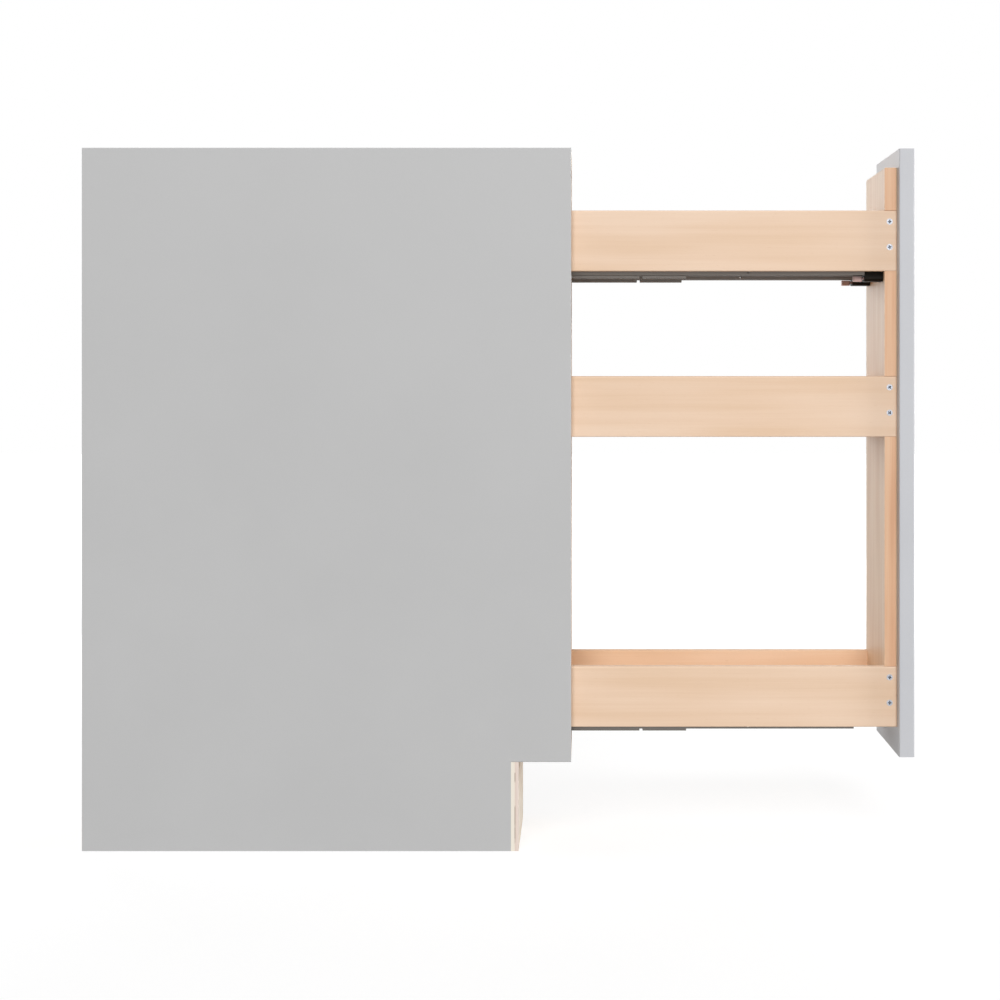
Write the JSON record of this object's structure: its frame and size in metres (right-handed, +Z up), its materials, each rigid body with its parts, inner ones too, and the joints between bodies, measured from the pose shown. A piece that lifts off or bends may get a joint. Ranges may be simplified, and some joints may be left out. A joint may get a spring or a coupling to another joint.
{
  "type": "spice drawer base cabinet",
  "caption": "Narrow kitchen base cabinet with a toe notch and a framed front on a tall pull-out of shallow wooden trays, carried on undermount slides with locking clips.",
  "frame": {"origin": "on the floor, at mid width, in the plane of the cabinet's back, which stands against the wall", "axes": "+Z up, front towards -Y, +Y into the wall, +X to the right seen from the front"},
  "size_m": [0.2286, 1.0376, 0.8763],
  "materials": {
    "grey_paint": "satin light grey paint on plywood",
    "grey_front_paint": "satin light grey paint",
    "maple_plywood": "clear coated maple plywood",
    "clear_birch": "clear coated birch",
    "bare_plywood": "bare plywood",
    "beech_dowel": "raw beech",
    "slide_steel": "zinc plated roll-formed steel",
    "zinc_fittings": "bright zinc plate",
    "white_nylon": "moulded nylon",
    "black_plastic": "moulded plastic",
    "red_plastic": "moulded plastic"
  },
  "bodies": {
    "cabinet": {"left_side_panel": "grey_paint", "right_side_panel": "grey_paint", "back_panel": "maple_plywood", "bottom_panel": "maple_plywood", "front_stretcher": "maple_plywood", "rear_stretcher": "maple_plywood", "toe_board": "bare_plywood", "cam_discs": "zinc_fittings", "cam_bolts": "zinc_fittings", "dowels": "beech_dowel", "back_screws": "zinc_fittings", "rail_screws": "zinc_fittings", "upper_left_fixed_rail": "slide_steel", "upper_right_fixed_rail": "slide_steel", "lower_left_fixed_rail": "slide_steel", "lower_right_fixed_rail": "slide_steel"},
    "pullout": {"front_left_stile": "grey_front_paint", "front_right_stile": "grey_front_paint", "front_top_rail": "grey_front_paint", "front_bottom_rail": "grey_front_paint", "front_panel": "grey_front_paint", "front_upright": "clear_birch", "rear_upright": "clear_birch", "tray_screws": "zinc_fittings", "front_screws": "zinc_fittings", "clip_screws": "zinc_fittings", "upper_tray_left_side": "clear_birch", "upper_tray_right_side": "clear_birch", "upper_tray_floor": "clear_birch", "middle_tray_left_side": "clear_birch", "middle_tray_right_side": "clear_birch", "middle_tray_floor": "clear_birch", "lower_tray_left_side": "clear_birch", "lower_tray_right_side": "clear_birch", "lower_tray_floor": "clear_birch", "upper_left_drawer_rail": "slide_steel", "upper_right_drawer_rail": "slide_steel", "lower_left_drawer_rail": "slide_steel", "lower_right_drawer_rail": "slide_steel", "upper_left_clip": "black_plastic", "upper_right_clip": "black_plastic"},
    "upper_left_middle_rail": {"upper_left_middle_rail": "slide_steel"},
    "upper_left_inner_cage": {"upper_left_inner_cage": "white_nylon"},
    "upper_left_outer_cage": {"upper_left_outer_cage": "white_nylon"},
    "upper_right_middle_rail": {"upper_right_middle_rail": "slide_steel"},
    "upper_right_inner_cage": {"upper_right_inner_cage": "white_nylon"},
    "upper_right_outer_cage": {"upper_right_outer_cage": "white_nylon"},
    "lower_left_middle_rail": {"lower_left_middle_rail": "slide_steel"},
    "lower_left_inner_cage": {"lower_left_inner_cage": "white_nylon"},
    "lower_left_outer_cage": {"lower_left_outer_cage": "white_nylon"},
    "lower_right_middle_rail": {"lower_right_middle_rail": "slide_steel"},
    "lower_right_inner_cage": {"lower_right_inner_cage": "white_nylon"},
    "lower_right_outer_cage": {"lower_right_outer_cage": "white_nylon"},
    "upper_left_clip_lever": {"upper_left_clip_lever": "red_plastic"},
    "upper_right_clip_lever": {"upper_right_clip_lever": "red_plastic"}
  },
  "joints": [
    {"name": "pullout_slide", "type": "slide", "parent": "cabinet", "child": "pullout", "axis": [0, -1, 0], "range_m": [-0.407, 0.123]},
    {"name": "upper_left_middle_rail_slide", "type": "slide", "parent": "cabinet", "child": "upper_left_middle_rail", "axis": [0, -1, 0], "range_m": [-0.204, 0.062]},
    {"name": "upper_left_inner_cage_slide", "type": "slide", "parent": "cabinet", "child": "upper_left_inner_cage", "axis": [0, -1, 0], "range_m": [-0.3057, 0.0927]},
    {"name": "upper_left_outer_cage_slide", "type": "slide", "parent": "cabinet", "child": "upper_left_outer_cage", "axis": [0, -1, 0], "range_m": [-0.1022, 0.0312]},
    {"name": "upper_right_middle_rail_slide", "type": "slide", "parent": "cabinet", "child": "upper_right_middle_rail", "axis": [0, -1, 0], "range_m": [-0.204, 0.062]},
    {"name": "upper_right_inner_cage_slide", "type": "slide", "parent": "cabinet", "child": "upper_right_inner_cage", "axis": [0, -1, 0], "range_m": [-0.3057, 0.0927]},
    {"name": "upper_right_outer_cage_slide", "type": "slide", "parent": "cabinet", "child": "upper_right_outer_cage", "axis": [0, -1, 0], "range_m": [-0.1022, 0.0312]},
    {"name": "lower_left_middle_rail_slide", "type": "slide", "parent": "cabinet", "child": "lower_left_middle_rail", "axis": [0, -1, 0], "range_m": [-0.204, 0.062]},
    {"name": "lower_left_inner_cage_slide", "type": "slide", "parent": "cabinet", "child": "lower_left_inner_cage", "axis": [0, -1, 0], "range_m": [-0.3057, 0.0927]},
    {"name": "lower_left_outer_cage_slide", "type": "slide", "parent": "cabinet", "child": "lower_left_outer_cage", "axis": [0, -1, 0], "range_m": [-0.1022, 0.0312]},
    {"name": "lower_right_middle_rail_slide", "type": "slide", "parent": "cabinet", "child": "lower_right_middle_rail", "axis": [0, -1, 0], "range_m": [-0.204, 0.062]},
    {"name": "lower_right_inner_cage_slide", "type": "slide", "parent": "cabinet", "child": "lower_right_inner_cage", "axis": [0, -1, 0], "range_m": [-0.3057, 0.0927]},
    {"name": "lower_right_outer_cage_slide", "type": "slide", "parent": "cabinet", "child": "lower_right_outer_cage", "axis": [0, -1, 0], "range_m": [-0.1022, 0.0312]},
    {"name": "upper_left_clip_lever_hinge", "type": "hinge", "parent": "pullout", "child": "upper_left_clip_lever", "pos_m": [-0.0647, -0.9897, 0.7154], "axis": [0, 0, -1], "range_deg": [0, 10], "stiffness_Nm_per_rad": 0.01},
    {"name": "upper_right_clip_lever_hinge", "type": "hinge", "parent": "pullout", "child": "upper_right_clip_lever", "pos_m": [0.0647, -0.9897, 0.7154], "axis": [0, 0, 1], "range_deg": [0, 10], "stiffness_Nm_per_rad": 0.01}
  ],
  "couplings": [
    {"joint": "upper_left_middle_rail_slide", "follows": "pullout_slide", "ratio": 0.5},
    {"joint": "upper_left_inner_cage_slide", "follows": "pullout_slide", "ratio": 0.75},
    {"joint": "upper_left_outer_cage_slide", "follows": "pullout_slide", "ratio": 0.25},
    {"joint": "upper_right_middle_rail_slide", "follows": "pullout_slide", "ratio": 0.5},
    {"joint": "upper_right_inner_cage_slide", "follows": "pullout_slide", "ratio": 0.75},
    {"joint": "upper_right_outer_cage_slide", "follows": "pullout_slide", "ratio": 0.25},
    {"joint": "lower_left_middle_rail_slide", "follows": "pullout_slide", "ratio": 0.5},
    {"joint": "lower_left_inner_cage_slide", "follows": "pullout_slide", "ratio": 0.75},
    {"joint": "lower_left_outer_cage_slide", "follows": "pullout_slide", "ratio": 0.25},
    {"joint": "lower_right_middle_rail_slide", "follows": "pullout_slide", "ratio": 0.5},
    {"joint": "lower_right_inner_cage_slide", "follows": "pullout_slide", "ratio": 0.75},
    {"joint": "lower_right_outer_cage_slide", "follows": "pullout_slide", "ratio": 0.25}
  ]
}
